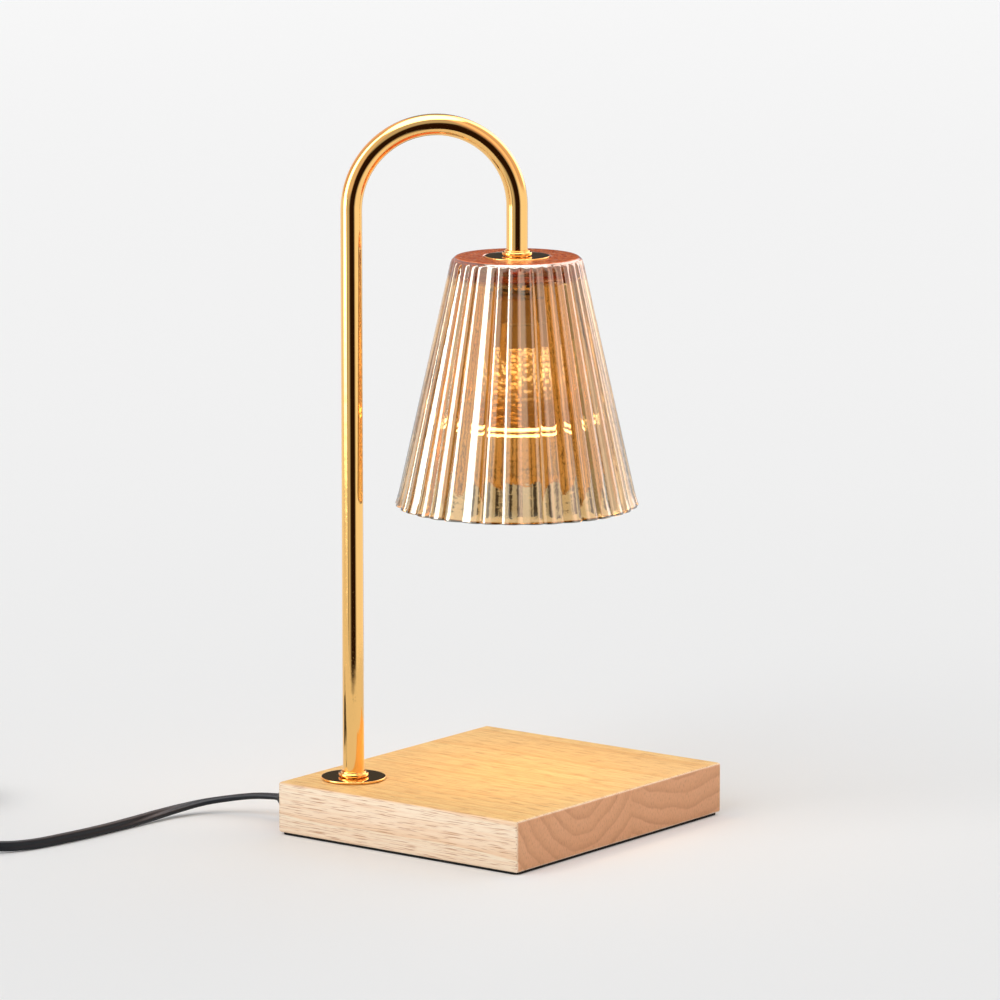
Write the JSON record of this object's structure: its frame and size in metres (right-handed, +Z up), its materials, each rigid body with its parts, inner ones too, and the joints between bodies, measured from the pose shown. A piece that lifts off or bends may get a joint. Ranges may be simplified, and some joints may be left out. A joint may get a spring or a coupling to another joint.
{
  "type": "candle warmer lamp",
  "caption": "Lamp that warms a jar candle from above: wooden base, gold pole bent over in an arch, ribbed amber glass shade, twist-in reflector bulb, and a cord with a dimmer.",
  "frame": {"origin": "centre of the underside of the base's pad, on the table", "axes": "+Z up; +X along the base's short side, away from the side the cord leaves by; +Y along its long side, from the pole's corner towards the back"},
  "size_m": [0.3696, 0.2989, 0.3366],
  "materials": {
    "rubberwood": "oiled, fine brown grain",
    "black_foam": "matt foam",
    "polished_gold": "mirror-polished plating",
    "amber_glass": "pressed, with a pearly lustre",
    "zinc_steel": "zinc-plated",
    "clear_silicone": "soft, translucent",
    "white_ceramic": "matt",
    "brass_contact": "bright",
    "reflector_coating": "mirror-coated glass",
    "clear_glass": "clear",
    "silicone_lead": "satin",
    "black_vinyl": "satin vinyl",
    "black_plastic": "fine satin",
    "circuit_board": "lacquered",
    "strap_fabric": "hook and loop"
  },
  "bodies": {
    "lamp": {"base_stave_near": "rubberwood", "base_stave_far": "rubberwood", "base_pad": "black_foam", "pole_tube": "polished_gold", "base_flange": "polished_gold", "base_collar": "polished_gold", "pole_washer": "zinc_steel", "pole_nut": "zinc_steel", "glass_shade": "amber_glass", "cap_disc": "polished_gold", "cap_collar": "polished_gold", "shade_seal_top": "clear_silicone", "shade_seal_under": "clear_silicone", "neck_nut": "zinc_steel", "holder_strap": "zinc_steel", "lamp_holder": "white_ceramic", "holder_screw_left": "zinc_steel", "holder_screw_right": "zinc_steel", "contact_left": "brass_contact", "contact_right": "brass_contact", "inner_lead": "silicone_lead", "strain_relief": "black_plastic", "cord_run": "black_vinyl", "cord_lead_in": "black_vinyl", "cord_coil": "black_vinyl", "cord_lead_out": "black_vinyl", "cord_tie": "strap_fabric", "switch_shell_lower": "black_plastic", "switch_shell_upper": "black_plastic", "switch_board": "circuit_board", "dimmer_dial": "zinc_steel", "switch_screw_rear": "zinc_steel", "switch_screw_front": "zinc_steel", "switch_sleeve_out": "black_plastic", "switch_sleeve_in": "black_plastic", "plug_body": "black_plastic", "plug_blade_narrow": "brass_contact", "plug_blade_wide": "brass_contact"},
    "bulb": {"bulb_base": "white_ceramic", "bulb_pin_left": "brass_contact", "bulb_pin_right": "brass_contact", "bulb_reflector": "reflector_coating", "bulb_lens": "clear_glass", "bulb_capsule": "clear_glass"},
    "dimmer": {"dimmer_wheel": "black_plastic"}
  },
  "joints": [
    {"name": "bulb_twist", "type": "hinge", "parent": "lamp", "child": "bulb", "pos_m": [0.00494, 0.00564, 0.21], "axis": [0, 0, 1], "range_deg": [0, 45]},
    {"name": "dimmer_turn", "type": "hinge", "parent": "lamp", "child": "dimmer", "pos_m": [-0.227, -0.208, 0.009], "axis": [0, 0, 1], "range_deg": [0, 300]}
  ]
}
